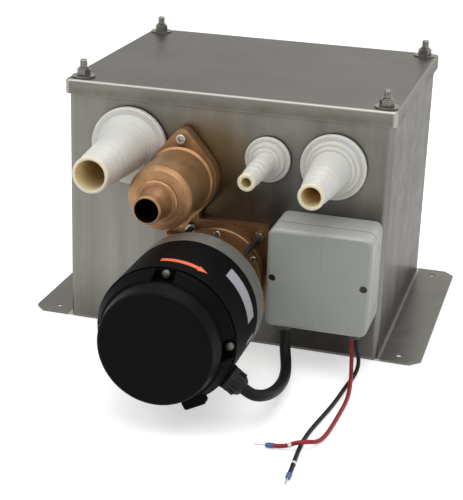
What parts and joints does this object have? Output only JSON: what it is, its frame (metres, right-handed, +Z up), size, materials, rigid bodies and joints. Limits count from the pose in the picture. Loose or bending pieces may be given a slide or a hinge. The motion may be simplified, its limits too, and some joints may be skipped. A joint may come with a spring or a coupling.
{
  "type": "sewage lifting station",
  "caption": "Small stainless waste water tank with flanged base, hose inlets, bronze pump with check valve, direct-current motor and control box on its front wall.",
  "frame": {"origin": "on the floor, at the centre of the base plate's foot holes", "axes": "+Z up, +X to the right of a viewer who faces the pump, +Y from the motor to the back"},
  "size_m": [0.4294, 0.5535, 0.2839],
  "materials": {
    "stainless_tank": "dull rolled sheet",
    "stainless_lid": "dull rolled sheet",
    "zinc_steel": "zinc plated",
    "stainless_fasteners": "bright stainless",
    "black_rubber": "matt",
    "white_plastic": "satin moulded",
    "bronze": "cast bronze",
    "bronze_cover": "cast bronze, nozzle turned",
    "flap_rubber": "matt",
    "cast_aluminium": "die cast",
    "black_motor": "satin black",
    "ferrite": "sintered",
    "bearing_steel": "ground",
    "moulded_black": "satin moulded",
    "carbon": "matt",
    "core_steel": "stacked sheet",
    "copper": "bare copper",
    "grey_plastic": "satin moulded",
    "board_green": "varnished",
    "relay_case": "glossy",
    "float_plastic": "satin moulded",
    "cable_black": "matt",
    "wire_red": "satin",
    "wire_black": "satin",
    "ferrule_blue": "satin",
    "marker_white": "matt"
  },
  "bodies": {
    "station": {"base_plate": "stainless_tank", "tank_shell": "stainless_tank", "lid_studs": "zinc_steel", "lid_gasket": "black_rubber", "left_inlet": "white_plastic", "vent_tail": "white_plastic", "right_inlet": "white_plastic", "fitting_gaskets": "black_rubber", "left_inlet_nut": "white_plastic", "vent_nut": "white_plastic", "right_inlet_nut": "white_plastic", "suction_elbow": "bronze", "pump_gasket": "black_rubber", "pump_body": "bronze", "pump_cover": "bronze", "pump_cover_screws": "stainless_fasteners", "neck_screws": "stainless_fasteners", "shaft_seal": "black_rubber", "tie_rods": "stainless_fasteners", "rod_nuts": "stainless_fasteners", "valve_gasket": "black_rubber", "valve_cover": "bronze_cover", "valve_screws": "stainless_fasteners", "flap_pin": "stainless_fasteners", "motor_bell": "cast_aluminium", "motor_housing": "black_motor", "field_magnets": "ferrite", "motor_end_shield": "black_motor", "motor_cap": "black_motor", "motor_bolts": "zinc_steel", "motor_bearings": "bearing_steel", "brush_ring": "moulded_black", "brushes": "carbon", "motor_gland": "moulded_black", "box_base": "grey_plastic", "box_seal": "black_rubber", "box_cover": "grey_plastic", "box_screws": "zinc_steel", "circuit_board": "board_green", "relay": "relay_case", "terminal_block": "moulded_black", "cable_grommet": "black_rubber", "wire_grommet": "black_rubber", "level_switch": "moulded_black", "motor_cable": "cable_black", "red_wire": "wire_red", "black_wire": "wire_black", "red_ferrule": "ferrule_blue", "black_ferrule": "ferrule_blue", "wire_markers": "marker_white"},
    "rotor": {"motor_shaft": "bearing_steel", "impeller": "bronze", "armature_core": "core_steel", "armature_windings": "copper", "commutator": "copper"},
    "flap": {"valve_flap": "flap_rubber"},
    "float": {"float_arm": "float_plastic"},
    "lid": {"lid": "stainless_lid", "lid_washers": "stainless_fasteners", "lid_nuts": "stainless_fasteners"}
  },
  "joints": [
    {"name": "rotor_spin", "type": "hinge", "parent": "station", "child": "rotor", "pos_m": [0.006, -0.2, 0.088], "axis": [0, 1, 0], "continuous": true},
    {"name": "flap_swing", "type": "hinge", "parent": "station", "child": "flap", "pos_m": [-0.0408, -0.15095, 0.199], "axis": [-1, 0, 0], "range_deg": [0, 60]},
    {"name": "float_swing", "type": "hinge", "parent": "station", "child": "float", "pos_m": [0.1142, -0.10775, 0.14], "axis": [1, 0, 0], "range_deg": [0, 58]},
    {"name": "lid_lift", "type": "slide", "parent": "station", "child": "lid", "axis": [0, 0, 1], "range_m": [0, 0.06]}
  ]
}
